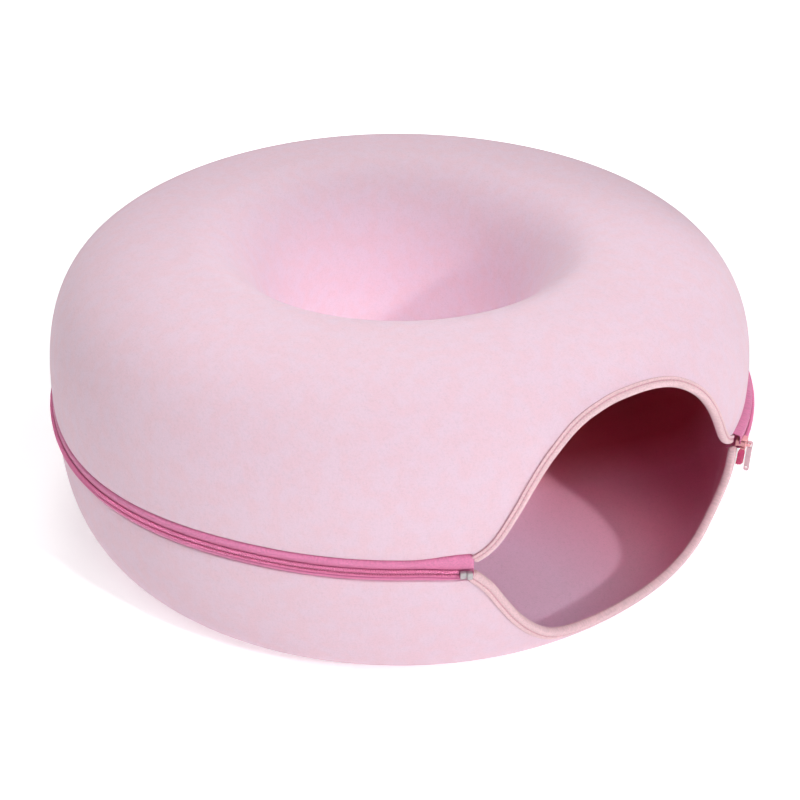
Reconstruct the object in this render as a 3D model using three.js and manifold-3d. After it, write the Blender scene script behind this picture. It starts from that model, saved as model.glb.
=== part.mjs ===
// Donut cat bed: two moulded felt halves, joined by a zip along their widest line,
// with a well through the middle and one bound entrance cut into both halves.
// Millimetres, +Z up. The origin is on the ring's axis, on the floor. The entrance faces -Y.
import * as THREE from 'three';
import { mergeVertices } from 'three/addons/utils/BufferGeometryUtils.js';
import Module from 'manifold-3d';

// Felt ring, measured on its outer surface
const HEIGHT = 194.4;
const WIDEST_HEIGHT = 96.2;
const FELT = 2.5;
const WIDEST_RADIUS = 246.2;
const CREST_RADIUS = 149.3;
const BASE_RADIUS = 195.2;
const BASE_INNER_RADIUS = 128;
const NECK_RADIUS = 89.2;
const NECK_HEIGHT = 99.4;
const SEAM_RADIUS = 87.5;
const SEAM_HEIGHT = 58;
const FLARE_HEIGHT = 52;

// Space left between pieces that touch
const GAP = 0.3;

// How square each rounded stretch is: 2 is an ellipse, more is squarer
const CROWN_POWER = 2.72;
const BELLY_POWER = 3.68;
const WELL_POWER = 2.22;
const FLARE_POWER = 2.2;

// Felt edges along the zip, as heights from the widest line
const UPPER_EDGE = 5.4;
const LOWER_EDGE = -9.2;

// Entrance: degrees either side of -Y, and what its binding measures
const ENTRANCE_ANGLE = 25.4;
const BINDING = 1;
const UPPER_BINDING_WIDTH = 6.2;
const LOWER_BINDING_WIDTH = 7.2;
const BAND_LEAST = 1.5;

// Zip: its middle line, tape, coil rows and the angles where they end beside the entrance
const ZIP_HEIGHT = 94.7;
const TAPE = 1;
const TAPE_HIDDEN = 7;
const TAPE_HIDDEN_RADIUS = WIDEST_RADIUS - FELT - 1;
const TAPE_RADIUS = 247;
const COIL_INNER_RADIUS = TAPE_RADIUS + GAP;
const COIL_OUTER_RADIUS = 249.6;
const COIL_EDGE = 2.4;
const COIL_BEVEL = 0.7;
const TAPE_LEFT = -25.6;
const TAPE_RIGHT = 26.7;
const COIL_LEFT = -27.6;

// The zip is slack beside the slider, where it stands out by this much, and lies back by this angle
const SLACK = 4.5;
const SLACK_END = 60;

// The coils sink by this much from one angle to another, towards the zip's left end
const DROOP = 2.2;
const DROOP_START = 327;
const DROOP_END = 333.4;

// The wall sags on the left, and its widest line and the zip with it: by how much, how far
// above and below that line it tells, and the angles where it grows and where it fades
const SAG = 9.5;
const SAG_REACH = 80;
const SAG_START = 170;
const SAG_FULL = 230;
const SAG_FADE = 262;
const SAG_END = 308;

// Metal stop over the coils' left ends
const STOP_ANGLE = -26.7;
const STOP_LENGTH = 7.2;
const STOP_HEIGHT = 5.4;
const STOP_THICKNESS = 1.3;
const STOP_BEVEL = 0.7;

// Slider: channel over the coils, inner plate, and the nose that joins them
const SLIDER_ANGLE = 26.9;
const SLIDER_LENGTH = 6.4;
const SLIDER_HALF_HEIGHT = 3.6;
const SLIDER_PLATE = 1;
const SLIDER_FLANGE = 0.8;
const FLANGE_CLEARANCE = 0.5;
const INNER_PLATE = 1.3;
const INNER_PLATE_HALF_HEIGHT = 2.2;
const INNER_PLATE_CLEARANCE = 0.6;
const NOSE_END = -1.6;
const NOSE_HALF_HEIGHT = 1.6;

// Bridge on the slider, which carries the pull
const BRIDGE_RADIUS = 252.4;
const BRIDGE_BAR = 1.2;
const BRIDGE_HALF_HEIGHT = 0.7;
const BRIDGE_HALF_LENGTH = 2.4;
const BRIDGE_POST = 1;

// Pull, hanging from the bridge, with heights from the zip's middle line
const PULL = 1.2;
const PULL_WIDTH = 3.4;
const PULL_TOP = 2.4;
const PULL_CHAMFER = 1;
const PULL_DROP = 20.6;
const SLOT_TOP = BRIDGE_HALF_HEIGHT + GAP;
const SLOT_BOTTOM = -2.5;
const SLOT_CLEARANCE = 0.4;

// Tail of the lower tape, below the slider
const TAIL_LENGTH = 11;
const TAIL_RANGE = [-4.2, 0.6];
const TAIL_CLEARANCE = 0.4;
const TAIL_OUT = 0.8;

// Steps round the ring, in degrees, and along each stretch of the felt's section
const RING_STEP = 6;
const ENTRANCE_STEPS = 28;
const CROWN_STEPS = 7;
const WELL_STEPS = 6;
const BELLY_STEPS = 5;
const FLARE_STEPS = 4;
const WALL_STEPS = 6;
const SLOPE_SPAN = 1;
const ROUND_STEPS = 6;

const COLOURS = {
  felt: 0xe9c6d3,
  binding: 0xecc2c8,
  tape: 0xe07bab,
  coil: 0xe890bd,
  metal: 0xb9b6b2,
  slider: 0xe28a8c,
  pull: 0xe3bcc4,
};

// Lip of the entrance in each half: degrees from -Y, and height from the widest line
const UPPER_LIP = [
  { angle: -25.4, height: 0.9 },
  { angle: -23.5, height: 6 },
  { angle: -21.8, height: 14 },
  { angle: -19.5, height: 29.5 },
  { angle: -17, height: 45 },
  { angle: -14.2, height: 57 },
  { angle: -9.5, height: 68.5 },
  { angle: -4, height: 73.8 },
  { angle: 1, height: 74.7 },
  { angle: 6.5, height: 72.6 },
  { angle: 10.6, height: 67.2 },
  { angle: 14, height: 57 },
  { angle: 16.2, height: 44.5 },
  { angle: 18, height: 30.5 },
  { angle: 19.9, height: 17 },
  { angle: 22.3, height: 6.5 },
  { angle: 25.4, height: -1 },
];
const LOWER_LIP = [
  { angle: -25.4, height: -4.6 },
  { angle: -24.2, height: -9.3 },
  { angle: -22.5, height: -17.5 },
  { angle: -20.6, height: -30.5 },
  { angle: -18.5, height: -44 },
  { angle: -15.6, height: -58 },
  { angle: -12.6, height: -67.5 },
  { angle: -9, height: -71.2 },
  { angle: -4.5, height: -71.4 },
  { angle: 0, height: -70.7 },
  { angle: 6, height: -69.8 },
  { angle: 12, height: -67.8 },
  { angle: 17.7, height: -59.8 },
  { angle: 21.4, height: -46.5 },
  { angle: 23.6, height: -32 },
  { angle: 24.9, height: -17.5 },
  { angle: 25.4, height: -4.6 },
];

// Where the lower wall stands out beside the slider, and is pressed in beyond it:
// the middle of each form as angle and height, how far out, and how wide and tall it is
const LOWER_FORMS = [
  { angle: 24, z: 80, out: 2.5, spread: 7, rise: 28 },
  { angle: 35, z: 38, out: -5, spread: 10, rise: 20 },
];

const wasm = await Module();
wasm.setup();
const radians = THREE.MathUtils.degToRad;

// A point of the meridian plane: r out from the axis, z up, with the surface's normal there
function surfacePoint(r, z, normalR, normalZ) {
  const length = Math.hypot(normalR, normalZ);
  return { r, z, nr: normalR / length, nz: normalZ / length };
}

function offset(point, distance) {
  return new THREE.Vector2(point.r + distance * point.nr, point.z + distance * point.nz);
}

// Quarter of a superellipse, from its side (turn 0) to its top or bottom (turn 1).
// It grows from the centre by reach along r and by rise along z; both carry their sign.
function roundedPoint(centreR, centreZ, reach, rise, power, turn) {
  const angle = turn * Math.PI / 2;
  const across = Math.max(Math.cos(angle), 0) ** (2 / power);
  const along = Math.sin(angle) ** (2 / power);
  const normalR = across ** (power - 1) / reach;
  const normalZ = along ** (power - 1) / rise;
  return surfacePoint(centreR + reach * across, centreZ + rise * along, normalR, normalZ);
}

// Turn at which a superellipse has grown by a share of its rise
function turnAt(share, power) {
  return Math.asin(Math.min(share, 1) ** (power / 2)) / (Math.PI / 2);
}

// Outer wall of the upper half
function crownTurn(height) {
  return turnAt(height / (HEIGHT - WIDEST_HEIGHT), CROWN_POWER);
}

function crownPoint(turn) {
  const reach = WIDEST_RADIUS - CREST_RADIUS;
  const rise = HEIGHT - WIDEST_HEIGHT;
  return roundedPoint(CREST_RADIUS, WIDEST_HEIGHT, reach, rise, CROWN_POWER, turn);
}

// Outer wall of the lower half
function bellyTurn(height) {
  return turnAt(-height / WIDEST_HEIGHT, BELLY_POWER);
}

function bellyPoint(turn) {
  const reach = WIDEST_RADIUS - BASE_RADIUS;
  return roundedPoint(BASE_RADIUS, WIDEST_HEIGHT, reach, -WIDEST_HEIGHT, BELLY_POWER, turn);
}

// Wall of the well, from the neck (turn 0) up to the crest (turn 1)
function wellPoint(turn) {
  const reach = NECK_RADIUS - CREST_RADIUS;
  return roundedPoint(CREST_RADIUS, NECK_HEIGHT, reach, HEIGHT - NECK_HEIGHT, WELL_POWER, turn);
}

// Foot of the well, from the straight neck (turn 0) down to the base (turn 1)
function flarePoint(turn) {
  const reach = SEAM_RADIUS - BASE_INNER_RADIUS;
  return roundedPoint(BASE_INNER_RADIUS, FLARE_HEIGHT, reach, -FLARE_HEIGHT, FLARE_POWER, turn);
}

// Slope of a lip at a row of its table, from the rows beside it
function lipSlopeAtRow(rows, k) {
  const before = rows[Math.max(k - 1, 0)];
  const after = rows[Math.min(k + 1, rows.length - 1)];
  return (after.height - before.height) / (after.angle - before.angle);
}

// Height of a lip at an angle, on a smooth cubic from row to row
function lipHeight(rows, angle) {
  const last = rows.length - 1;
  const found = rows.findIndex((row) => row.angle > angle);
  const i = found < 0 ? last - 1 : Math.max(found - 1, 0);
  const slopes = [i, i + 1].map((k) => lipSlopeAtRow(rows, k));
  const span = rows[i + 1].angle - rows[i].angle;
  const t = THREE.MathUtils.clamp((angle - rows[i].angle) / span, 0, 1);
  const start = (1 + 2 * t) * (1 - t) ** 2 * rows[i].height + t * (1 - t) ** 2 * span * slopes[0];
  const end = t * t * (3 - 2 * t) * rows[i + 1].height + t * t * (t - 1) * span * slopes[1];
  return start + end;
}

// How much longer a step across the lip is when it is measured straight up the wall
function lipStretch(rows, angle) {
  const side = SLOPE_SPAN / 2;
  const rise = lipHeight(rows, angle + side) - lipHeight(rows, angle - side);
  return Math.hypot(1, rise / (radians(SLOPE_SPAN) * WIDEST_RADIUS));
}

// Each half's outer wall, as the entrance's edge, its binding and the zip need it
const UPPER = {
  lip: UPPER_LIP,
  sign: 1,
  bindingWidth: UPPER_BINDING_WIDTH,
  zipEdge: UPPER_EDGE,
  pointAt: (height) => crownPoint(crownTurn(Math.max(height, 0))),
};
const LOWER = {
  lip: LOWER_LIP,
  sign: -1,
  bindingWidth: LOWER_BINDING_WIDTH,
  zipEdge: LOWER_EDGE,
  pointAt: (height) => bellyPoint(bellyTurn(Math.min(height, 0))),
};

// Height reached by going a distance along the wall from a lip, away from the zip
function heightBeyondLip(half, angle, distance) {
  const step = distance * lipStretch(half.lip, angle) / WALL_STEPS;
  let height = lipHeight(half.lip, angle);
  for (let i = 0; i < WALL_STEPS; i += 1) {
    height += half.sign * step * half.pointAt(height).nr;
  }
  return height;
}

// Whichever of two heights lies further from the zip
function further(half, a, b) {
  return half.sign * Math.max(half.sign * a, half.sign * b);
}

// Height of the felt's cut edge at an angle: at the zip, or just inside the lip's binding
function feltEdge(half, angle) {
  if (Math.abs(angle) >= ENTRANCE_ANGLE) return half.zipEdge;
  return further(half, heightBeyondLip(half, angle, BINDING + GAP), half.zipEdge);
}

// Heights that the felt and its binding share at an angle, so that their facets run parallel
function bindingBand(half, angle) {
  const edge = feltEdge(half, angle);
  const inEntrance = Math.abs(angle) <= ENTRANCE_ANGLE;
  const reach = inEntrance ? heightBeyondLip(half, angle, half.bindingWidth) : edge;
  const far = further(half, reach, edge + half.sign * BAND_LEAST);
  return { edge, middle: (edge + far) / 2, far };
}

// How much a radius belongs to the outer wall: 1 there, and 0 at the well
function outerShare(r) {
  return THREE.MathUtils.smoothstep(r, BASE_INNER_RADIUS, BASE_RADIUS);
}

// How far the lower wall's forms bring a point out
function formsOut(point, angle) {
  const signed = angle > 180 ? angle - 360 : angle;
  return LOWER_FORMS.reduce((sum, form) => {
    const across = (signed - form.angle) / form.spread;
    const up = (point.y - form.z) / form.rise;
    return sum + outerShare(point.x) * form.out * Math.exp(-across * across - up * up);
  }, 0);
}

function withForms(sectionAt) {
  const moved = (p, angle) => new THREE.Vector2(p.x + formsOut(p, angle), p.y);
  return (angle) => sectionAt(angle).map((p) => moved(p, angle));
}

// Shares from 0 to 1 in equal steps
function steps(count) {
  return Array.from({ length: count + 1 }, (_, i) => i / count);
}

// Angles of the sections from one angle to another, evenly spaced
function anglesBetween(start, end, count) {
  return steps(count).map((share) => start + share * (end - start));
}

// Angles across the entrance, closer together towards its corners, where the lips are steep
function entranceAngles() {
  const turns = anglesBetween(-Math.PI / 2, Math.PI / 2, ENTRANCE_STEPS);
  return turns.map((turn) => ENTRANCE_ANGLE * Math.sin(turn));
}

function ringAngles() {
  const entrance = entranceAngles();
  const rest = 360 - 2 * ENTRANCE_ANGLE;
  const back = anglesBetween(ENTRANCE_ANGLE, ENTRANCE_ANGLE + rest, Math.round(rest / RING_STEP));
  return [...entrance, ...back.slice(1, -1)];
}

// How far a point of the outer wall sinks where the bed sags
function sagAt(point, angle) {
  const turn = angle < 0 ? angle + 360 : angle;
  const grown = THREE.MathUtils.smoothstep(turn, SAG_START, SAG_FULL);
  const faded = THREE.MathUtils.smoothstep(turn, SAG_FADE, SAG_END);
  const away = Math.min(Math.abs(point.y - WIDEST_HEIGHT) / SAG_REACH, 1);
  const near = Math.cos(away * Math.PI / 2) ** 2;
  return SAG * grown * (1 - faded) * near * outerShare(point.x);
}

function place(point, angle) {
  const turn = radians(angle);
  const z = point.y - sagAt(point, angle);
  return new THREE.Vector3(point.x * Math.sin(turn), -point.x * Math.cos(turn), z);
}

// Two triangles over a four-sided facet, split along its shorter diagonal
function facet(positions, [a, b, c, d]) {
  const straight = positions[a].distanceTo(positions[c]);
  const crossed = positions[b].distanceTo(positions[d]);
  return straight <= crossed ? [[a, b, c], [a, c, d]] : [[a, b, d], [b, c, d]];
}

// Closed body swept through meridian sections, one for each angle.
// A sweep that stops short of the full circle gets a flat cap at each end.
function sweptBody(angles, sectionAt, closed) {
  const sections = angles.map((angle) => sectionAt(angle));
  const size = sections[0].length;
  const positions = sections.flatMap((section, i) => section.map((p) => place(p, angles[i])));
  const faces = [];
  const spans = closed ? sections.length : sections.length - 1;
  for (let i = 0; i < spans; i += 1) {
    const here = i * size;
    const next = ((i + 1) % sections.length) * size;
    for (let k = 0; k < size; k += 1) {
      const after = (k + 1) % size;
      faces.push(...facet(positions, [here + k, next + k, next + after, here + after]));
    }
  }
  if (!closed) faces.push(...endCaps(sections));
  return bodyFromFaces(positions, faces);
}

// Triangles over the first and the last section of an open sweep
function endCaps(sections) {
  const last = sections.length - 1;
  const lastStart = last * sections[0].length;
  const clockwise = THREE.ShapeUtils.isClockWise(sections[0]);
  const turned = (face, reversed) => (reversed ? [...face].reverse() : face);
  const firstCap = THREE.ShapeUtils.triangulateShape(sections[0], []);
  const lastCap = THREE.ShapeUtils.triangulateShape(sections[last], []);
  return [
    ...firstCap.map((face) => turned(face, clockwise)),
    ...lastCap.map((face) => turned(face.map((k) => lastStart + k), !clockwise)),
  ];
}

// Six times the volume inside the faces, negative where they point inward
function signedVolume(positions, faces) {
  const cross = new THREE.Vector3();
  return faces.reduce((sum, [a, b, c]) => {
    cross.crossVectors(positions[b], positions[c]);
    return sum + positions[a].dot(cross);
  }, 0);
}

function bodyFromFaces(positions, faces) {
  const outward = signedVolume(positions, faces) > 0;
  const index = faces.flatMap(([a, b, c]) => (outward ? [a, b, c] : [a, c, b]));
  const geometry = new THREE.BufferGeometry();
  geometry.setFromPoints(positions);
  geometry.setIndex(index);
  geometry.computeVertexNormals();
  return geometry;
}

// Felt sheet between an outer surface line and the same line one thickness in
function feltSection(line) {
  const outer = line.map((point) => offset(point, 0));
  const inner = line.map((point) => offset(point, -FELT)).reverse();
  return [...outer, ...inner];
}

function upperShellSection(angle) {
  const { edge, middle, far } = bindingBand(UPPER, angle);
  const band = [edge, middle].map((height) => UPPER.pointAt(height));
  const start = crownTurn(far);
  const crown = steps(CROWN_STEPS).map((share) => crownPoint(start + share * (1 - start)));
  const well = steps(WELL_STEPS).slice(1).map((share) => wellPoint(1 - share));
  const seam = surfacePoint(SEAM_RADIUS, SEAM_HEIGHT, -1, 0);
  return feltSection([...band, ...crown, ...well, seam]);
}

function lowerShellSection(angle) {
  const { edge, middle, far } = bindingBand(LOWER, angle);
  const band = [edge, middle].map((height) => LOWER.pointAt(height));
  const start = bellyTurn(far);
  const belly = steps(BELLY_STEPS).map((share) => bellyPoint(start + share * (1 - start)));
  const flare = steps(FLARE_STEPS).map((share) => flarePoint(1 - share));
  const seam = surfacePoint(SEAM_RADIUS, SEAM_HEIGHT - GAP, -1, 0);
  return feltSection([...band, ...belly, ...flare, seam]);
}

// Binding folded over a lip: a leg on each face of the felt, joined round its cut edge
function bindingSection(half, angle) {
  const lip = lipHeight(half.lip, angle);
  const inside = heightBeyondLip(half, angle, BINDING);
  const { middle, far } = bindingBand(half, angle);
  const line = (heights, distance) => heights.map((h) => offset(half.pointAt(h), distance));
  return [
    ...line([far, middle, lip], GAP + BINDING),
    ...line([lip, middle, far], -FELT - GAP - BINDING),
    ...line([far, middle, inside], -FELT - GAP),
    ...line([inside, middle, far], GAP),
  ];
}

// How far the slack zip stands out at an angle
function slackAt(angle) {
  return SLACK * (1 - THREE.MathUtils.smoothstep(angle, TAPE_RIGHT, SLACK_END));
}

// Height of the zip's middle line at an angle, before the sag
function zipHeightAt(angle) {
  const turn = angle < 0 ? angle + 360 : angle;
  return ZIP_HEIGHT - DROOP * THREE.MathUtils.smoothstep(turn, DROOP_START, DROOP_END);
}

// Zip tape: hidden behind the felt's edge, then out to the coil at the middle line
function tapeSection(half, angle) {
  const feltEdgeHeight = WIDEST_HEIGHT + half.zipEdge;
  const outside = TAPE_RADIUS + slackAt(angle);
  const middle = zipHeightAt(angle);
  const line = [
    new THREE.Vector2(TAPE_HIDDEN_RADIUS, feltEdgeHeight + half.sign * TAPE_HIDDEN),
    new THREE.Vector2(TAPE_HIDDEN_RADIUS, feltEdgeHeight - half.sign * GAP),
    new THREE.Vector2(outside, middle + half.sign * (COIL_EDGE + GAP)),
    new THREE.Vector2(outside, middle + half.sign * GAP),
  ];
  const back = line.map((p) => new THREE.Vector2(p.x - TAPE, p.y)).reverse();
  return [...line, ...back];
}

// Row of coil teeth, as one bar with a rounded outer face
function coilSection(half, angle) {
  const near = GAP / 2;
  return [
    [COIL_INNER_RADIUS, near],
    [COIL_OUTER_RADIUS - COIL_BEVEL, near],
    [COIL_OUTER_RADIUS, near + COIL_BEVEL],
    [COIL_OUTER_RADIUS, COIL_EDGE - COIL_BEVEL],
    [COIL_OUTER_RADIUS - COIL_BEVEL, COIL_EDGE],
    [COIL_INNER_RADIUS, COIL_EDGE],
  ].map(([r, height]) => {
    const z = zipHeightAt(angle) + half.sign * height;
    return new THREE.Vector2(r + slackAt(angle), z);
  });
}

// Angles of the zip's sections, the long way round, on the felt's own steps
function zipAngles(left, right) {
  const end = 360 + left;
  const between = ringAngles().filter((angle) => angle > right + 1 && angle < end - 1);
  return [right, ...between, end];
}

// Small pieces at the zip's ends, each in its own frame: X out from the ring's axis,
// Y along the zip with growing angle, Z up from the zip's middle line.
function outline(points) {
  return new THREE.Shape(points.map(([x, z]) => new THREE.Vector2(x, z)));
}

function rectangle([left, right], [bottom, top]) {
  return outline([[left, bottom], [right, bottom], [right, top], [left, top]]);
}

// Outline in the X-Z plane, extruded along Y between two limits
function extrudeAlongZip(shape, [start, end]) {
  const options = { depth: end - start, bevelEnabled: false, curveSegments: ROUND_STEPS };
  const geometry = new THREE.ExtrudeGeometry(shape, options);
  geometry.rotateX(Math.PI / 2);
  geometry.translate(0, end, 0);
  return geometry;
}

function toManifold(geometry) {
  const bare = geometry.clone();
  bare.deleteAttribute('normal');
  bare.deleteAttribute('uv');
  const merged = mergeVertices(bare);
  return new wasm.Manifold(new wasm.Mesh({
    numProp: 3,
    vertProperties: new Float32Array(merged.attributes.position.array),
    triVerts: new Uint32Array(merged.index.array),
  }));
}

function joined(geometries) {
  const mesh = geometries.map(toManifold).reduce((whole, next) => whole.add(next)).getMesh();
  const geometry = new THREE.BufferGeometry();
  geometry.setAttribute('position', new THREE.BufferAttribute(mesh.vertProperties, 3));
  geometry.setIndex(new THREE.BufferAttribute(mesh.triVerts, 1));
  geometry.computeVertexNormals();
  return geometry;
}

// Slider: a channel over both coils, an inner plate, the nose that joins them, and a bridge
function sliderGeometry() {
  const half = SLIDER_LENGTH / 2;
  const inner = COIL_OUTER_RADIUS + GAP;
  const outer = inner + SLIDER_PLATE;
  const root = outer - SLIDER_PLATE / 3;
  const flange = TAPE_RADIUS + FLANGE_CLEARANCE;
  const inside = SLIDER_HALF_HEIGHT - SLIDER_FLANGE;
  const channel = outline([
    [flange, SLIDER_HALF_HEIGHT], [outer, SLIDER_HALF_HEIGHT],
    [outer, -SLIDER_HALF_HEIGHT], [flange, -SLIDER_HALF_HEIGHT],
    [flange, -inside], [inner, -inside],
    [inner, inside], [flange, inside],
  ]);
  const plateEnd = TAPE_RADIUS - TAPE - INNER_PLATE_CLEARANCE;
  const plateStart = plateEnd - INNER_PLATE;
  const plateHeights = [-INNER_PLATE_HALF_HEIGHT, INNER_PLATE_HALF_HEIGHT];
  const bridgeHeights = [-BRIDGE_HALF_HEIGHT, BRIDGE_HALF_HEIGHT];
  const bridgeEnd = BRIDGE_RADIUS + BRIDGE_BAR;
  const plate = rectangle([plateStart, plateEnd], plateHeights);
  const nose = rectangle([plateStart, root], [-NOSE_HALF_HEIGHT, NOSE_HALF_HEIGHT]);
  const post = rectangle([root, bridgeEnd], bridgeHeights);
  const bar = rectangle([BRIDGE_RADIUS, bridgeEnd], bridgeHeights);
  return joined([
    extrudeAlongZip(channel, [-half, half]),
    extrudeAlongZip(plate, [-half, half]),
    extrudeAlongZip(nose, [-half, NOSE_END]),
    extrudeAlongZip(post, [-BRIDGE_HALF_LENGTH, BRIDGE_POST - BRIDGE_HALF_LENGTH]),
    extrudeAlongZip(post, [BRIDGE_HALF_LENGTH - BRIDGE_POST, BRIDGE_HALF_LENGTH]),
    extrudeAlongZip(bar, [-BRIDGE_HALF_LENGTH, BRIDGE_HALF_LENGTH]),
  ]);
}

// Pull tab, hanging edge-on from the bridge's bar through the slot at its top
function pullGeometry() {
  const middle = BRIDGE_RADIUS + BRIDGE_BAR / 2;
  const half = PULL_WIDTH / 2;
  const shape = new THREE.Shape();
  shape.moveTo(middle - half, PULL_TOP - PULL_CHAMFER);
  shape.lineTo(middle - half, half - PULL_DROP);
  shape.absarc(middle, half - PULL_DROP, half, Math.PI, 2 * Math.PI, false);
  shape.lineTo(middle + half, PULL_TOP - PULL_CHAMFER);
  shape.lineTo(middle + half - PULL_CHAMFER, PULL_TOP);
  shape.lineTo(middle - half + PULL_CHAMFER, PULL_TOP);
  shape.closePath();
  const slotHalf = BRIDGE_BAR / 2 + SLOT_CLEARANCE;
  const slot = rectangle([middle - slotHalf, middle + slotHalf], [SLOT_BOTTOM, SLOT_TOP]);
  shape.holes.push(new THREE.Path(slot.getPoints()));
  return extrudeAlongZip(shape, [-PULL / 2, PULL / 2]);
}

// Metal stop: a clip folded over the ends of both coils
function stopGeometry() {
  const inner = TAPE_RADIUS + GAP;
  const outer = COIL_OUTER_RADIUS + STOP_THICKNESS;
  const half = STOP_HEIGHT / 2;
  const shape = outline([
    [inner, -half], [outer - STOP_BEVEL, -half], [outer, STOP_BEVEL - half],
    [outer, half - STOP_BEVEL], [outer - STOP_BEVEL, half], [inner, half],
  ]);
  return extrudeAlongZip(shape, [-STOP_LENGTH / 2, STOP_LENGTH / 2]);
}

// Tail of the lower tape, turned down in front of the felt below the slider
function tailGeometry() {
  const inner = TAPE_RADIUS + TAIL_OUT;
  const top = -SLIDER_HALF_HEIGHT - TAIL_CLEARANCE;
  const shape = rectangle([inner, inner + TAPE], [top - TAIL_LENGTH, top]);
  return extrudeAlongZip(shape, TAIL_RANGE);
}

const part = new THREE.Group();

function addPiece(name, geometry, color, roughness = 0.9, metalness = 0) {
  const material = new THREE.MeshStandardMaterial({ color, roughness, metalness });
  const mesh = new THREE.Mesh(geometry, material);
  mesh.name = name;
  part.add(mesh);
  return mesh;
}

// Felt halves
addPiece('shell_upper', sweptBody(ringAngles(), upperShellSection, true), COLOURS.felt);
addPiece('shell_lower', sweptBody(ringAngles(), withForms(lowerShellSection), true), COLOURS.felt);

// Entrance bindings
const upperBinding = (angle) => bindingSection(UPPER, angle);
const lowerBinding = withForms((angle) => bindingSection(LOWER, angle));
addPiece('binding_upper', sweptBody(entranceAngles(), upperBinding, false), COLOURS.binding);
addPiece('binding_lower', sweptBody(entranceAngles(), lowerBinding, false), COLOURS.binding);

// Zip tapes and coils
const tapeAngles = zipAngles(TAPE_LEFT, TAPE_RIGHT);
const coilAngles = zipAngles(COIL_LEFT, TAPE_RIGHT);
for (const [end, half] of [['upper', UPPER], ['lower', LOWER]]) {
  const tape = sweptBody(tapeAngles, (angle) => tapeSection(half, angle), false);
  const coil = sweptBody(coilAngles, (angle) => coilSection(half, angle), false);
  addPiece(`zip_tape_${end}`, tape, COLOURS.tape);
  addPiece(`zip_coil_${end}`, coil, COLOURS.coil, 0.5);
}

// Small pieces, turned to their angle on the zip and out with its slack
function placeOnZip(mesh, angle, slack) {
  const turn = radians(angle);
  mesh.position.set(slack * Math.sin(turn), -slack * Math.cos(turn), zipHeightAt(angle));
  mesh.rotation.z = radians(angle - 90);
}

placeOnZip(addPiece('zip_stop', stopGeometry(), COLOURS.metal, 0.35, 0.9), STOP_ANGLE, 0);
placeOnZip(addPiece('zip_slider', sliderGeometry(), COLOURS.slider, 0.4, 0.2), SLIDER_ANGLE, SLACK);
placeOnZip(addPiece('zip_pull', pullGeometry(), COLOURS.pull, 0.4, 0.2), SLIDER_ANGLE, SLACK);
placeOnZip(addPiece('zip_tail', tailGeometry(), COLOURS.tape), SLIDER_ANGLE, SLACK);

export default part;
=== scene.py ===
import math
from functools import partial

import bmesh
import bpy
import numpy as np
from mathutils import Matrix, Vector


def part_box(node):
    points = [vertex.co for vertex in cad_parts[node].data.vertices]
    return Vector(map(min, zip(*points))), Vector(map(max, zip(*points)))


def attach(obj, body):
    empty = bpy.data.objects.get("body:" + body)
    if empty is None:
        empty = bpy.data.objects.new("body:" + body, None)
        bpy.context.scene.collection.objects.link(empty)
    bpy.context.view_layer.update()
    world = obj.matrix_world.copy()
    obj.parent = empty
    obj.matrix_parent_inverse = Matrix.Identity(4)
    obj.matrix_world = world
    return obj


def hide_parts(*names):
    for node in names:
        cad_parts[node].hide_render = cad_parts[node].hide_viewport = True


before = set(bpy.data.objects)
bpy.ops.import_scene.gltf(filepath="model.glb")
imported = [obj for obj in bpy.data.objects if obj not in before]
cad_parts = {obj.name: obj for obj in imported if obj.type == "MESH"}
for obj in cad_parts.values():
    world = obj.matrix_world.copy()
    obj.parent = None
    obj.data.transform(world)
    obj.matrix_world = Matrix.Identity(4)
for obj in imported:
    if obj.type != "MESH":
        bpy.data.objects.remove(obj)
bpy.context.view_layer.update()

# Donut cat bed: two moulded felt halves joined by a zip, with a bound entrance on the -Y side.
# Sizes are in millimetres times MM, or else in metres. Angles are in degrees, from -Y towards +X.
MM = 0.001

# Felt ring, measured on its outer surface
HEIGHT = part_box("shell_upper")[1].z
WIDEST_HEIGHT = 96.2 * MM
FELT = 2.5 * MM
WIDEST_RADIUS = 246.2 * MM
CREST_RADIUS = 149.3 * MM
BASE_RADIUS = 195.2 * MM
BASE_INNER_RADIUS = 128 * MM
NECK_RADIUS = 89.2 * MM
NECK_HEIGHT = 99.4 * MM
SEAM_RADIUS = 87.5 * MM
SEAM_HEIGHT = 58 * MM
FLARE_HEIGHT = 52 * MM
GAP = 0.3 * MM

# How square each rounded stretch is: 2 is an ellipse, more is squarer
CROWN_POWER = 2.72
BELLY_POWER = 3.68
WELL_POWER = 2.22
FLARE_POWER = 2.2

# Felt edges along the zip, as heights from the widest line
UPPER_EDGE = 5.4 * MM
LOWER_EDGE = -9.2 * MM

# Entrance, which is this wide on both sides of -Y, and its bindings
ENTRANCE_ANGLE = 25.4
UPPER_BINDING_WIDTH = 6.2 * MM
LOWER_BINDING_WIDTH = 7.2 * MM
BINDING = 1 * MM

# Zip: its middle line, its tapes and coil rows, and the angles at which they end
ZIP_HEIGHT = 94.2 * MM
TAPE = 1 * MM
TAPE_HIDDEN = 7 * MM
TAPE_HIDDEN_RADIUS = WIDEST_RADIUS - FELT - 1 * MM
TAPE_RADIUS = 247 * MM
COIL_RADIUS = 249.3 * MM
COIL_EDGE = 2.4 * MM
TAPE_LEFT = -25.6
TAPE_RIGHT = 26.7
UPPER_TAPE_END = 26.1
LOWER_TAPE_END = 27.2
COIL_LEFT = -27.6

# The zip stands out beside the slider, less and less as far as this angle
SLACK = 4.5 * MM
SLACK_END = 60

# The zip's middle line sinks towards its left end, from one angle to another
DROOP = 2.2 * MM
DROOP_START = 327
DROOP_END = 333.4

# The wall sags on the left, and its widest line and the zip with it
SAG = 9.5 * MM
SAG_REACH = 80 * MM
SAG_START = 170
SAG_FULL = 230
SAG_FADE = 262
SAG_END = 308

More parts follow.
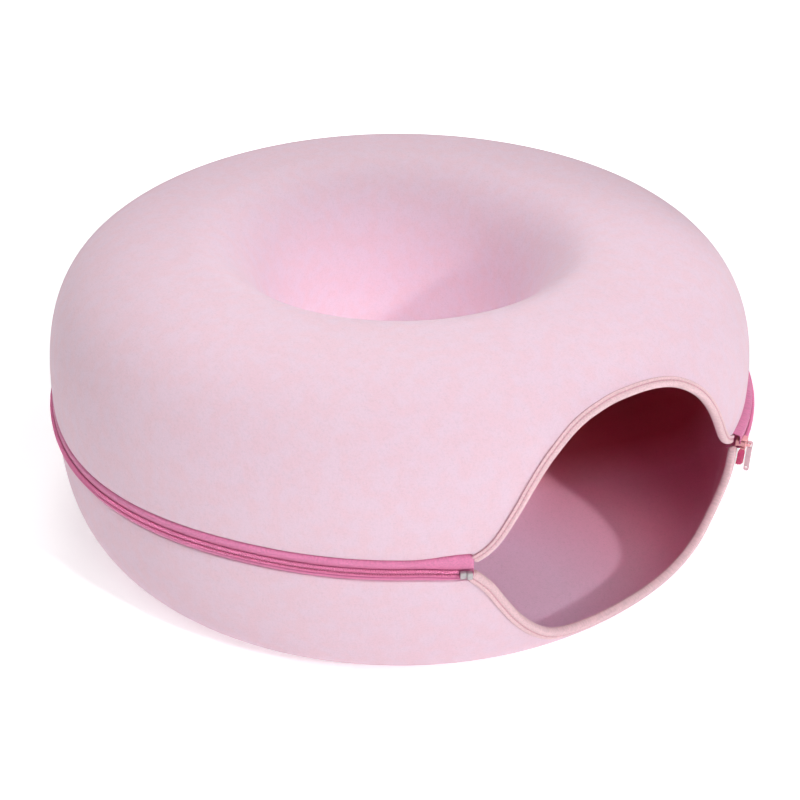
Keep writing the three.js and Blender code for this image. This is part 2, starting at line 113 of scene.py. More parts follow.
# Where the lower wall stands out or is pressed in. Each row is the form's angle, its height above
# the floor, how far out it stands, and its reach in degrees and in height.
LOWER_FORMS = [
    (24, 80 * MM, 2.5 * MM, 7, 28 * MM),
    (35, 38 * MM, -5 * MM, 10, 20 * MM),
]

# The felt's edges open a little beside the zip's left end
OPENING_START = 326
OPENING_FULL = 332.5
OPENING_CLOSE = 333.9
OPENING_END = 334.6
UPPER_OPENING = 2.2 * MM
LOWER_OPENING = 1.4 * MM

# Painted shade on each tape, in the recess beside its coil, as a distance from the middle line
UPPER_PAINTED_SHADE_LINE = 2.5 * MM
LOWER_PAINTED_SHADE_LINE = 4 * MM

# Metal stop at the zip's left end
STOP_ANGLE = -26.7
STOP_LENGTH = 7.2 * MM
STOP_HEIGHT = 5.2 * MM
STOP_JOINT = 0.5 * MM
STOP_STEP = 0.5 * MM
STOP_RADII = (247.6 * MM, 250.6 * MM)
STOP_STRIP_RADII = (247.4 * MM, 249 * MM)

# Slider at the zip's right end, with the bridge on its outer face
SLIDER_ANGLE = 26.9
SLIDER_OUTER_RADIUS = 250.9 * MM
SLIDER_FACE_RADIUS = 249.9 * MM
SLIDER_FLANGE_RADIUS = 247.5 * MM
SLIDER_INNER_RADII = (244.1 * MM, 245.4 * MM)
SLIDER_LENGTH = 6.4 * MM
SLIDER_HALF_HEIGHT = 3.6 * MM
SLIDER_WALL = 0.8 * MM
BRIDGE_RADIUS = 252.4 * MM
BRIDGE_BAR = 1.2 * MM
BRIDGE_POST = 1 * MM
BRIDGE_HALF_LENGTH = 2.4 * MM
BRIDGE_HALF_HEIGHT = 0.7 * MM

# Pull tab on the bridge, and the lower tape's short tail below the slider
PULL = 1.2 * MM
PULL_WIDTH = 3.4 * MM
PULL_TOP = 2.4 * MM
PULL_DROP = 20.6 * MM
PULL_HOLE_RADIUS = 0.8 * MM
PULL_HOLE_UP = 2.4 * MM
PULL_HOLE_SIDES = 16
TAIL_LENGTH = 12.5 * MM
TAIL_RANGE = (-4.2 * MM, 0.6 * MM)
TAIL_THICKNESS = 0.6 * MM
TAIL_RADIUS = 248.7 * MM
TAIL_TURN = math.radians(52)
TAIL_TURNED = 0.3
TAIL_ROWS = 18
TAIL_COLUMNS = 9

# Lip of the entrance in each half: degrees from -Y, and millimetres from the widest line
UPPER_LIP = [
    (-25.4, 0.9), (-23.5, 6), (-21.8, 14), (-19.5, 29.5), (-17, 45), (-14.2, 57),
    (-9.5, 68.5), (-4, 73.8), (1, 74.7), (6.5, 72.6), (10.6, 67.2), (14, 57),
    (16.2, 44.5), (18, 30.5), (19.9, 17), (22.3, 6.5), (25.4, -1),
]
LOWER_LIP = [
    (-25.4, -4.6), (-24.2, -9.3), (-22.5, -17.5), (-20.6, -30.5), (-18.5, -44), (-15.6, -58),
    (-12.6, -67.5), (-9, -71.2), (-4.5, -71.4), (0, -70.7), (6, -69.8), (12, -67.8),
    (17.7, -59.8), (21.4, -46.5), (23.6, -32), (24.9, -17.5), (25.4, -4.6),
]

# Soft unevenness of the felt. Each row is a wave's size in mm, how many there are round the ring,
# its phase, and how fast that changes with height.
WAVES = [
    (0.35, 2, 0.6, 0),
    (0.25, 3, -1.1, 9),
    (0.175, 5, 2.2, -14),
]

# Camera, at the photo's angle
CAMERA_AZIMUTH = -35.5
CAMERA_ELEVATION = 30.1
CAMERA_DISTANCE = 0.9127
CAMERA_TARGET = Vector((0, 0, 0.0972))
LENS = 56.19
SENSOR = 36
SHIFT_X = 0.0016
SHIFT_Y = -0.065


def direction(azimuth, elevation):
    """Unit vector from the bed towards an azimuth (from -Y towards +X) and elevation."""
    a, e = math.radians(azimuth), math.radians(elevation)
    return Vector((math.sin(a) * math.cos(e), -math.cos(a) * math.cos(e), math.sin(e)))


def add_object(name, data):
    piece = bpy.data.objects.new(name, data)
    bpy.context.collection.objects.link(piece)
    return piece


def aim(piece, target, towards, distance):
    """Sets a camera or lamp at a distance from its target, looking at it."""
    piece.location = target + distance * towards
    piece.rotation_euler = towards.to_track_quat("Z", "Y").to_euler()


def make_camera():
    data = bpy.data.cameras.new("camera")
    data.lens = LENS
    data.sensor_width = SENSOR
    data.shift_x = SHIFT_X
    data.shift_y = SHIFT_Y
    camera = add_object("camera", data)
    aim(camera, CAMERA_TARGET, direction(CAMERA_AZIMUTH, CAMERA_ELEVATION), CAMERA_DISTANCE)
    bpy.context.scene.camera = camera


# Surfaces of the felt. A surface is r, z and the outward normal's two parts, as arrays.


def rounded(centre, reach, rise, power, turn):
    """Quarter of a superellipse, from its side (turn 0) to its top or bottom (turn 1)."""
    angle = np.asarray(turn, float) * math.pi / 2
    across = np.maximum(np.cos(angle), 0) ** (2 / power)
    along = np.maximum(np.sin(angle), 0) ** (2 / power)
    nr = across ** (power - 1) / reach
    nz = along ** (power - 1) / rise
    length = np.hypot(nr, nz)
    r, z = centre[0] + reach * across, centre[1] + rise * along
    return np.stack([r, z, nr / length, nz / length])


def turn_at(share, power):
    """Turn at which a superellipse has grown by a share of its rise."""
    return np.arcsin(np.clip(share, 0, 1) ** (power / 2)) / (math.pi / 2)


def crown_turn(height):
    return turn_at(np.maximum(height, 0) / (HEIGHT - WIDEST_HEIGHT), CROWN_POWER)


def belly_turn(height):
    return turn_at(np.maximum(-height, 0) / WIDEST_HEIGHT, BELLY_POWER)


crown = partial(rounded, (CREST_RADIUS, WIDEST_HEIGHT), WIDEST_RADIUS - CREST_RADIUS,
                HEIGHT - WIDEST_HEIGHT, CROWN_POWER)
belly = partial(rounded, (BASE_RADIUS, WIDEST_HEIGHT), WIDEST_RADIUS - BASE_RADIUS,
                -WIDEST_HEIGHT, BELLY_POWER)
well = partial(rounded, (CREST_RADIUS, NECK_HEIGHT), NECK_RADIUS - CREST_RADIUS,
               HEIGHT - NECK_HEIGHT, WELL_POWER)
flare = partial(rounded, (BASE_INNER_RADIUS, FLARE_HEIGHT), SEAM_RADIUS - BASE_INNER_RADIUS,
                -FLARE_HEIGHT, FLARE_POWER)


WALL_STEPS = 8


class Half:
    """One felt half: its outer wall and lip, with its own sizes of edge, tape and binding."""

    def __init__(self, rows, sign, zip_edge, opening, seam, tape_end, binding_width):
        self.angles = np.array([row[0] for row in rows], float)
        self.heights = np.array([row[1] for row in rows], float) * MM
        self.slopes = np.gradient(self.heights) / np.gradient(self.angles)
        self.sign = sign
        self.zip_edge = zip_edge
        self.opening = opening
        # Distance of the tape's painted shade line from the zip's middle line
        self.seam = seam
        self.tape_end = tape_end
        self.binding_width = binding_width

    def wall(self, height):
        return crown(crown_turn(height)) if self.sign > 0 else belly(belly_turn(height))

    def lip(self, angle):
        """Height of the lip at each angle, on a smooth cubic from row to row."""
        angle = np.clip(angle, self.angles[0], self.angles[-1])
        i = np.clip(np.searchsorted(self.angles, angle, side="right") - 1, 0, len(self.angles) - 2)
        span = self.angles[i + 1] - self.angles[i]
        t = (angle - self.angles[i]) / span
        start = (1 + 2 * t) * (1 - t) ** 2 * self.heights[i] + t * (1 - t) ** 2 * span * self.slopes[i]
        end = t * t * (3 - 2 * t) * self.heights[i + 1] + t * t * (t - 1) * span * self.slopes[i + 1]
        return start + end

    def along_wall(self, angle, height, across, up):
        """Angle and height reached by going across (along the ring) and up the wall."""
        for _ in range(WALL_STEPS):
            r, _, nr, _ = self.wall(height)
            angle = angle + np.degrees(across / WALL_STEPS / r)
            height = height + up / WALL_STEPS * nr
        return angle, height


UPPER = Half(UPPER_LIP, sign=1, zip_edge=UPPER_EDGE, opening=UPPER_OPENING, seam=UPPER_PAINTED_SHADE_LINE,
             tape_end=UPPER_TAPE_END, binding_width=UPPER_BINDING_WIDTH)
LOWER = Half(LOWER_LIP, sign=-1, zip_edge=LOWER_EDGE, opening=LOWER_OPENING, seam=LOWER_PAINTED_SHADE_LINE,
             tape_end=LOWER_TAPE_END, binding_width=LOWER_BINDING_WIDTH)


def ease(value, start, end):
    """Smooth step from 0 at start to 1 at end."""
    share = np.clip((value - start) / (end - start), 0, 1)
    return share * share * (3 - 2 * share)


def full_turn(angle):
    return np.mod(angle, 360)


def outer_share(r):
    """How much a radius belongs to the outer wall: 1 there, and 0 at the well."""
    return ease(r, BASE_INNER_RADIUS, BASE_RADIUS)


def forms_out(r, angle, z):
    """How far the lower wall's forms bring a point out."""
    signed = np.where(angle > 180, angle - 360, angle)
    total = np.zeros(np.shape(signed))
    for middle, height, out, width, rise in LOWER_FORMS:
        total = total + out * np.exp(-((signed - middle) / width) ** 2 - ((z - height) / rise) ** 2)
    return total * outer_share(r)


def sag_at(r, angle, z):
    """How far a point of the outer wall sinks where the bed sags."""
    turn = full_turn(angle)
    away = np.minimum(np.abs(z - WIDEST_HEIGHT) / SAG_REACH, 1)
    near = np.cos(away * math.pi / 2) ** 2
    sunk = ease(turn, SAG_START, SAG_FULL) * (1 - ease(turn, SAG_FADE, SAG_END))
    return SAG * sunk * near * outer_share(r)


def uneven(angle, z):
    """How far the soft felt, and all that lies on it, stands out from its even form."""
    a = np.radians(angle)
    return MM * sum(size * np.sin(count * a + phase + change * z) for size, count, phase, change in WAVES)


def place(r, angle, z, lower_wall=False):
    """Points from radius, angle and height, with the felt's shared unevenness and sag."""
    r, angle, z = np.broadcast_arrays(r, angle, z)
    turn = np.radians(angle)
    out = r + uneven(angle, z)
    if lower_wall:
        out = out + forms_out(r, angle, z)
    return np.stack([out * np.sin(turn), -out * np.cos(turn), z - sag_at(r, angle, z)], axis=-1)


# Meshes


def mesh_object(name, points, faces):
    mesh = bpy.data.meshes.new(name)
    mesh.from_pydata([tuple(p) for p in points], [], faces)
    mesh.update()
    mesh.polygons.foreach_set("use_smooth", [True] * len(mesh.polygons))
    return add_object(name, mesh)


def grid_faces(rows, columns, wrap_rows, wrap_columns):
    i = np.arange(rows if wrap_rows else rows - 1)[:, None]
    j = np.arange(columns if wrap_columns else columns - 1)[None, :]
    here, after = i * columns, ((i + 1) % rows) * columns
    right = (j + 1) % columns
    return np.stack([here + j, here + right, after + right, after + j], axis=-1).reshape(-1, 4)


def volume_sign(points, faces):
    a, b, c = (points[faces[:, k]] for k in range(3))
    d = points[faces[:, 3]]
    total = np.einsum("ij,ij->", a, np.cross(b, c)) + np.einsum("ij,ij->", a, np.cross(c, d))
    return 1 if total > 0 else -1


def swept(name, grid, closed):
    """Closed body from a grid: rows run round the section, columns along the sweep."""
    rows, columns = grid.shape[:2]
    points = grid.reshape(-1, 3)
    faces = grid_faces(rows, columns, True, closed)
    turned = faces if volume_sign(points, faces) > 0 else faces[:, ::-1]
    face_list = turned.tolist()
    if not closed:
        # An end's face runs against the side's own edges
        pairs = {(f[k], f[(k + 1) % 4]) for f in face_list for k in range(4)}
        for first in (0, columns - 1):
            ring = list(range(first, rows * columns, columns))
            face_list.append(ring[::-1] if (ring[0], ring[1]) in pairs else ring)
    return mesh_object(name, points, face_list)


def tube_faces(rings, sides, base=0):
    """Faces of a closed tube whose points come ring by ring from a first point."""
    faces = (grid_faces(rings, sides, False, True) + base).tolist()
    last = base + (rings - 1) * sides
    return [*faces, list(range(base, base + sides))[::-1], list(range(last, last + sides))]


def outward(points, faces):
    """Faces turned so that a closed mesh's volume is positive."""
    total = 0.0
    for face in faces:
        a = points[face[0]]
        for k in range(1, len(face) - 1):
            total += float(np.dot(a, np.cross(points[face[k]], points[face[k + 1]])))
    return faces if total > 0 else [tuple(reversed(face)) for face in faces]


def set_lie(piece, *measures):
    """Stores a woven piece's measures: along it, over it and out from its line of painted shade."""
    data = piece.data.attributes.new("lie", "FLOAT_VECTOR", "POINT")
    data.data.foreach_set("vector", np.stack(measures, axis=-1).astype(np.float32).reshape(-1))


# Materials


SHEEN_ROUGHNESS = 0.6


def fill(node, values):
    """Sets a node's own inputs by their names."""
    for name, value in values.items():
        node.inputs[name].default_value = value


class Shader:
    """Helper round one material's nodes."""

    def __init__(self, name, colour, roughness, metallic=0.0, sheen=0.0, specular=0.5):
        self.material = bpy.data.materials.new(name)
        self.material.use_nodes = True
        self.tree = self.material.node_tree
        self.bsdf = self.tree.nodes["Principled BSDF"]
        fill(self.bsdf, {"Base Color": (*colour, 1), "Roughness": roughness, "Metallic": metallic,
                         "Sheen Weight": sheen, "Sheen Roughness": SHEEN_ROUGHNESS,
                         "Specular IOR Level": specular})
        self.height = None

    def node(self, kind, **values):
        node = self.tree.nodes.new(kind)
        for name, value in values.items():
            setattr(node, name, value)
        return node

    def link(self, source, target):
        self.tree.links.new(source, target)

    def object_point(self, scale=(1, 1, 1)):
        coordinates = self.node("ShaderNodeTexCoord")
        mapping = self.node("ShaderNodeMapping")
        fill(mapping, {"Scale": scale})
        self.link(coordinates.outputs["Object"], mapping.inputs["Vector"])
        return mapping.outputs["Vector"]

    def noise(self, vector, scale, detail=2.0, roughness=0.5, distortion=0.0):
        noise = self.node("ShaderNodeTexNoise")
        fill(noise, {"Scale": scale, "Detail": detail, "Roughness": roughness,
                     "Distortion": distortion})
        self.link(vector, noise.inputs["Vector"])
        return noise.outputs["Fac"]

    def math(self, operation, a, b=0.0):
        node = self.node("ShaderNodeMath", operation=operation)
        for socket, value in zip(node.inputs, (a, b)):
            if isinstance(value, (int, float)):
                socket.default_value = value
            else:
                self.link(value, socket)
        return node.outputs[0]

    def ramp(self, factor, stops):
        ramp = self.node("ShaderNodeValToRGB")
        elements = ramp.color_ramp.elements
        while len(elements) < len(stops):
            elements.new(0.5)
        for element, (position, colour) in zip(elements, stops):
            element.position = position
            element.color = (*colour, 1)
        self.link(factor, ramp.inputs["Fac"])
        return ramp.outputs["Color"]

    def product(self, a, b):
        mix = self.node("ShaderNodeMix", data_type="RGBA", blend_type="MULTIPLY")
        fill(mix, {"Factor": 1})
        self.link(a, mix.inputs["A"])
        self.link(b, mix.inputs["B"])
        return mix.outputs["Result"]

    def measure(self, operation, vector, other=(0, 0, 0)):
        """Length, distance or dot product of a vector, as one value."""
        node = self.node("ShaderNodeVectorMath", operation=operation)
        node.inputs[1].default_value = other
        self.link(vector, node.inputs[0])
        return node.outputs["Value"]

    def colour(self, socket):
        self.link(socket, self.bsdf.inputs["Base Color"])

    def bump(self, height, distance, strength=1.0):
        bump = self.node("ShaderNodeBump")
        fill(bump, {"Distance": distance, "Strength": strength})
        self.link(height, bump.inputs["Height"])
        if self.height is not None:
            self.link(self.height, bump.inputs["Normal"])
        self.height = bump.outputs["Normal"]
        self.link(self.height, self.bsdf.inputs["Normal"])


def shade(colour, factor):
    return tuple(min(c * factor, 1) for c in colour)


# Base colours, as linear red, green and blue
WHITE = (1, 1, 1)
FELT_PINK = (0.87, 0.615, 0.71)
FELT_LILAC = (0.86, 0.64, 0.75)
# Painted light and painted shade of the felt's inside
FELT_PAINTED_LIT = (0.97, 0.70, 0.90)
FELT_ROSE_PAINTED_SHADE = (0.98, 0.42, 0.58)
BINDING_PINK = (0.88, 0.60, 0.64)
# Painted shade in the binding's stitch groove and along its outer edge
BINDING_PAINTED_SHADE = (0.55, 0.25, 0.30)
THREAD_PINK = (0.78, 0.40, 0.48)
TAPE_PINK = (0.84, 0.26, 0.48)
# Painted shade for the tape's recess beside the coil
TAPE_PAINTED_SHADE = (0.55, 0.06, 0.22)
COIL_PINK = (0.86, 0.26, 0.48)
# The tail is the tape's pink painted darker, as painted shade
TAIL_PAINTED_SHADE = (0.55, 0.04, 0.14)
METAL_GREY = (0.50, 0.47, 0.48)
SLIDER_SALMON = (0.90, 0.42, 0.45)
PULL_PINK = (0.82, 0.55, 0.62)

# Two sets of felt fibres, one finer along Z and one along X, the down between them, and lumps
FIBRE_STRETCH = (1, 1, 3.5)
FIBRE_SCALES = (420, 460)
DOWN_SCALE = 900
LUMP_SCALE = 140
FIBRE_TINT = (1.04, 1.03, 1.04)

# The inside of the felt has painted light: pale where the entrance lamp falls, with rosier painted shade
# beside it.
# It has deeper painted shade further in, away from the entrance. Stops are shares of the reach.
PAINTED_LIGHT_SPOT = (-0.06, -0.16, 0)
PAINTED_LIGHT_AND_SHADE_REACH = 0.24
PAINTED_LIGHT_STOPS = [(0.27, FELT_PAINTED_LIT), (0.64, FELT_ROSE_PAINTED_SHADE)]
PAINTED_SHADE_AWAY_FROM = (-0.3, -1, 0)
PAINTED_SHADE_STOPS = [(0.17, (0.8, 0.42, 0.42)), (0.36, WHITE)]

# The outside is mottled, and the well's wall is painted a little paler than the rest of it, as painted
# light
MOTTLE_SCALE = 110
MOTTLE_STOPS = [(0.38, FELT_PINK), (0.62, FELT_LILAC)]
WELL_PAINTED_LIGHT_REACH = 0.3
WELL_PAINTED_LIGHT_STOPS = [(0.36, (1.04, 1.07, 1.07)), (0.48, WHITE)]


def felt_grain(shader, point):
    """Fine fibres lying in two directions, as one value."""
    streaks = []
    for stretch, scale in zip((FIBRE_STRETCH, FIBRE_STRETCH[::-1]), FIBRE_SCALES):
        lying = shader.object_point(stretch)
        streaks.append(shader.noise(lying, scale, detail=3, roughness=0.6, distortion=1.2))
    fine = shader.noise(point, DOWN_SCALE, detail=2, roughness=0.6)
    both = shader.math("ADD", streaks[0], streaks[1])
    return shader.math("ADD", shader.math("MULTIPLY", both, 0.35), shader.math("MULTIPLY", fine, 0.3))


def felt_material(name, colour, sheen, dark, tint):
    """Pressed felt: its tint, darker between the fine fibres and a little paler on them."""
    shader = Shader(name, colour, 0.95, sheen=sheen, specular=0.2)
    point = shader.object_point()
    fibre = felt_grain(shader, point)
    light = shader.ramp(fibre, [(0.36, (dark, dark, dark)), (0.5, WHITE), (0.68, FIBRE_TINT)])
    shader.colour(shader.product(tint(shader, point), light))
    shader.bump(fibre, 0.25 * MM, 0.5)
    shader.bump(shader.noise(point, LUMP_SCALE, detail=3), 0.5 * MM, 0.3)
    return shader.material


# Real mottle, with painted light that makes the well's wall paler
def outside_mottle_and_painted_light(shader, point):
    mottle = shader.ramp(shader.noise(point, MOTTLE_SCALE, detail=3), MOTTLE_STOPS)
    away = shader.measure("LENGTH", shader.object_point((1, 1, 0)))
    return shader.product(mottle, shader.ramp(shader.math("DIVIDE", away, WELL_PAINTED_LIGHT_REACH), WELL_PAINTED_LIGHT_STOPS))


# Painted light where the entrance lamp falls on the inner floor, and painted shade around it and further
# in
def inside_painted_light_and_shade(shader, point):
    away = shader.measure("DISTANCE", point, PAINTED_LIGHT_SPOT)
    painted_light = shader.ramp(shader.math("DIVIDE", away, PAINTED_LIGHT_AND_SHADE_REACH), PAINTED_LIGHT_STOPS)
    along = shader.measure("DOT_PRODUCT", point, PAINTED_SHADE_AWAY_FROM)
    return shader.product(painted_light, shader.ramp(shader.math("DIVIDE", along, PAINTED_LIGHT_AND_SHADE_REACH), PAINTED_SHADE_STOPS))


# How softly the painted shade band fades out from its line
PAINTED_SHADE_FADE = 0.8 * MM
GRAIN_SCALE = 600
GRAIN_DEPTH = 0.05 * MM


def woven_material(name, colour, pitch, roughness=0.7, seam=None):
    """Ribbed tape, from the piece's own measures: along it, over it, and out from its line of painted
    shade.
    """
    shader = Shader(name, colour, roughness, sheen=0.2, specular=0.3)
    point = shader.node("ShaderNodeAttribute", attribute_name="lie").outputs["Vector"]
    wave = shader.node("ShaderNodeTexWave", wave_type="BANDS", bands_direction="X")
    # At scale 1 the node's bands repeat every 2 pi / 20
    fill(wave, {"Scale": 2 * math.pi / pitch / 20, "Distortion": 0.6, "Detail": 1})
    shader.link(point, wave.inputs["Vector"])
    fine = shader.noise(point, DOWN_SCALE, detail=2)
    cloth = shader.ramp(fine, [(0.3, shade(colour, 0.88)), (0.7, shade(colour, 1.08))])
    # seam is the colour of painted shade in the band along that line
    if seam is None:
        shader.colour(cloth)
    else:
        parts = shader.node("ShaderNodeSeparateXYZ")
        shader.link(point, parts.inputs["Vector"])
        share = shader.math("ADD", shader.math("DIVIDE", parts.outputs["Z"], PAINTED_SHADE_FADE), 0.5)
        dark = tuple(a / b for a, b in zip(seam, colour))
        shader.colour(shader.product(cloth, shader.ramp(share, [(0.2, dark), (0.8, WHITE)])))
    shader.bump(wave.outputs["Fac"], 0.12 * MM, 0.8)
    shader.bump(fine, 0.1 * MM, 0.5)
    return shader.material


def plain_material(name, colour, roughness, metallic=0.0):
    """Metal, paint, nylon or thread, with a slight grain."""
    shader = Shader(name, colour, roughness, metallic)
    grains = shader.noise(shader.object_point(), GRAIN_SCALE, detail=3)
    shader.colour(shader.ramp(grains, [(0.3, shade(colour, 0.92)), (0.7, shade(colour, 1.05))]))
    shader.bump(grains, GRAIN_DEPTH, 0.5)
    return shader.material


def finish(piece, material, slot, *nodes):
    """Gives a piece its material and body, and hides the solids that it stands for; slot is not used."""
    piece.data.materials.append(material)
    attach(piece, "root")
    if nodes:
        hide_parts(*nodes)
    return piece


# Felt halves. Columns are counted along the lip, beside its right end, round the back and beside
# its left end, and are close together on both sides of the entrance.

LIP_COLUMNS = 201
RIGHT_COLUMNS = 17
BACK_COLUMNS = 213
LEFT_COLUMNS = 33
RIGHT_END = 34
EDGE_ROWS = 5
LIP_SAMPLES = 2001
STEEPNESS_SIDE = 0.5


def spread(start, end, count):
    return np.linspace(start, end, count)


def around(count):
    """Evenly spaced angles of one full turn."""
    return spread(0, 2 * math.pi, count + 1)[:-1]


def lip_angles(half, shares):
    """Angles at shares of the way along a lip, from its left end."""
    angle = spread(-ENTRANCE_ANGLE, ENTRANCE_ANGLE, LIP_SAMPLES)
    r, z, _, _ = half.wall(half.lip(angle))
    length = distances(place(r, angle, z))
    return np.interp(shares * length[-1], length, angle)


def unit(vectors):
    return vectors / np.linalg.norm(vectors, axis=-1, keepdims=True)


def point_on(path, length, at):
    """Point of a path at a distance along it."""
    return np.array([np.interp(at, length, path[:, k]) for k in range(3)])


def distances(path):
    """Distance of each point of a path from its start, along it."""
    return np.concatenate([[0], np.cumsum(np.linalg.norm(np.diff(path, axis=0), axis=-1))])


def column_angles(half):
    """Angles of the felt's columns: evenly along the lip, then round the ring."""
    entrance = lip_angles(half, spread(0, 1, LIP_COLUMNS))
    right = spread(ENTRANCE_ANGLE, RIGHT_END, RIGHT_COLUMNS)
    behind = spread(RIGHT_END, OPENING_START, BACK_COLUMNS)
    left = spread(OPENING_START, 360 - ENTRANCE_ANGLE, LEFT_COLUMNS)
    return np.concatenate([entrance[:-1], right[:-1], behind[:-1], left[:-1]])


def lip_steepness(half, angle):
    """Height up the wall for each unit across the lip: 1 where the lip is level, or more."""
    rise = half.lip(angle + STEEPNESS_SIDE) - half.lip(angle - STEEPNESS_SIDE)
    return np.hypot(1, rise / (math.radians(2 * STEEPNESS_SIDE) * WIDEST_RADIUS))


def zip_edge_at(half, angle):
    """Height of the felt's edge along the zip, which opens beside the stop."""
    turn = full_turn(angle)
    opened = ease(turn, OPENING_START, OPENING_FULL) * (1 - ease(turn, OPENING_CLOSE, OPENING_END))
    return half.zip_edge + half.sign * half.opening * opened


def felt_edge(half, angle):
    """Height of the felt's cut edge at each angle: at the zip, or just inside the binding."""
    signed = np.where(angle > 180, angle - 360, angle)
    distance = (BINDING + GAP) * lip_steepness(half, signed)
    _, inside = half.along_wall(signed, half.lip(signed), 0, half.sign * distance)
    edge = half.sign * np.maximum(half.sign * inside, half.sign * half.zip_edge)
    return np.where(np.abs(signed) < ENTRANCE_ANGLE, edge, zip_edge_at(half, angle))


def felt_outline(half, angle, wall_rows, inner_rows):
    """Surface rows from the felt's edge over the wall and the well's side to the seam."""
    edge = felt_edge(half, angle)
    if half.sign > 0:
        wall, foot, start, seam_height = crown, well, crown_turn(edge), SEAM_HEIGHT
    else:
        wall, foot, start, seam_height = belly, flare, belly_turn(edge), SEAM_HEIGHT - GAP
    outer = [wall(start + share * (1 - start)) for share in spread(0, 1, wall_rows)]
    inner = [foot(np.full(angle.shape, 1 - share)) for share in spread(0, 1, inner_rows)[1:]]
    seam = np.zeros((4, angle.size))
    seam[0], seam[1], seam[2] = SEAM_RADIUS, seam_height, -1
    neck = inner[-1]
    between = [neck + (seam - neck) * share for share in (0.25, 0.5, 0.75)]
    return np.stack([*outer, *inner, *between, seam])


def felt_half(name, half, node, materials, wall_rows, inner_rows):
    """One felt half as a sheet with both faces, rounded at its cut edge."""
    angle = column_angles(half)
    line = felt_outline(half, angle, wall_rows, inner_rows)
    r, z, nr, nz = (line[:, k, :] for k in range(4))
    outer = place(r, angle, z, half.sign < 0)
    inner = place(r - FELT * nr, angle, z - FELT * nz, half.sign < 0)
    # The cut edge is a half circle between the two faces
    middle = (outer[0] + inner[0]) / 2
    side = (outer[0] - inner[0]) / 2
    run = unit(outer[0] - outer[1])
    bend = FELT / 2
    turns = spread(0, math.pi, EDGE_ROWS + 2)[1:-1]
    rim = [middle + side * math.cos(t) + run * bend * (math.sin(t) - 1) for t in turns]
    outer[0] -= run * bend
    inner[0] -= run * bend
    grid = np.concatenate([outer, inner[::-1], np.stack(rim[::-1])])
    piece = swept(name, grid, True)
    finish(piece, materials[0], "felt", node)
    piece.data.materials.append(materials[1])
    inside = np.zeros((len(grid), angle.size), int)
    inside[len(outer):2 * len(outer) - 1] = 1
    piece.data.polygons.foreach_set("material_index", inside.reshape(-1))
    return piece


# Bindings: a folded tape swept along each lip, in (s, n): s into the felt from the lip, n out

BINDING_COLUMNS = 320
# Half width of the painted shade bands at the stitches and the outer edge
BINDING_PAINTED_SHADE_HALF = 0.3 * MM
NUB = 2.4 * MM
NUB_LEAST = 0.12
STITCH_SHARE = 0.6
STITCH_PITCH = 3 * MM
STITCH_LENGTH = 2.3 * MM
STITCH_RADIUS = 0.3 * MM


def binding_section(width):
    """Outline of the folded tape: two pillows on the outside, a roll at the lip, a leg inside."""
    out, back = GAP, -FELT - GAP
    thick = BINDING
    seam = STITCH_SHARE * width
    outside = [
        (width, out), (width - 0.1 * MM, out + 0.5 * thick), (width - 0.5 * MM, out + 0.85 * thick),
        (0.8 * width, out + 1.05 * thick), (seam + 0.6 * MM, out + 0.85 * thick),
        (seam + 0.2 * MM, out + 0.4 * thick), (seam - 0.2 * MM, out + 0.4 * thick),
        (seam - 0.6 * MM, out + 0.85 * thick), (0.4 * width, out + 1.12 * thick),
        (2 * MM, out + 1.1 * thick),
    ]
    middle = (out + back) / 2
    radius = (out - back) / 2 + thick
    turns = spread(0, math.pi, 9)
    roll = [(radius * 0.62 * (1 - math.sin(t)), middle + radius * math.cos(t)) for t in turns]
    inside = [(0.4 * width, back - thick), (0.7 * width, back - 0.8 * thick), (width, back - 0.3 * thick)]
    hidden = [(width, back), (0.5 * width, back), (thick + GAP * 0.5, back), (thick, middle)]
    hidden += [(thick + GAP * 0.5, out), (0.5 * width, out)]
    return outside + roll + inside + hidden


class Lip:
    """Path of a half's lip, and the way across it over the wall."""

    def __init__(self, half, angle):
        self.half, self.angle, self.height = half, angle, half.lip(angle)
        r, z, nr, nz = half.wall(self.height)
        path = place(r, angle, z, half.sign < 0)
        run = unit(np.gradient(path, axis=0))
        turn = np.radians(angle)
        round_ring = np.stack([np.cos(turn), np.sin(turn), np.zeros_like(turn)], axis=-1)
        up_wall = np.stack([-nz * np.sin(turn), nz * np.cos(turn), nr], axis=-1)
        along_ring = np.einsum("ij,ij->i", run, round_ring)
        along_wall = np.einsum("ij,ij->i", run, up_wall)
        self.across, self.up = -along_wall * half.sign, along_ring * half.sign
        self.length = distances(path)

    def point(self, s, n):
        """Points at a distance s from the lip and n out from the felt's outer face."""
        a, h = self.half.along_wall(self.angle, self.height, s * self.across, s * self.up)
        r, z, nr, nz = self.half.wall(h)
        return place(r + n * nr, a, z + n * nz, self.half.sign < 0)


def binding(name, half, node, material):
    """Folded tape over a lip, drawn in to a nub at each end."""
    shares = (1 - np.cos(spread(0, math.pi, BINDING_COLUMNS))) / 2
    lip = Lip(half, lip_angles(half, shares))
    section = binding_section(half.binding_width)
    ends = np.minimum(lip.length, lip.length[-1] - lip.length)
    shrink = np.maximum(np.sqrt(1 - (1 - np.clip(ends / NUB, 0, 1)) ** 2), NUB_LEAST)
    middle = (half.binding_width / 2, -FELT / 2)
    rows = []
    for point in section:
        rows.append(lip.point(*(m + (at - m) * shrink for m, at in zip(middle, point))))
    piece = swept(name, np.stack(rows), False)
    along = np.broadcast_to(lip.length, (len(section), lip.length.size))
    over = np.broadcast_to(np.array([s for s, _ in section])[:, None], along.shape)
    # Distance from the painted shade bands at the stitch line and the outer edge
    stitched = np.abs(over - STITCH_SHARE * half.binding_width)
    outer_edge = np.abs(over - half.binding_width)
    beside = np.minimum(stitched, outer_edge) - BINDING_PAINTED_SHADE_HALF
    set_lie(piece, along, over, beside)
    return finish(piece, material, "binding", node)


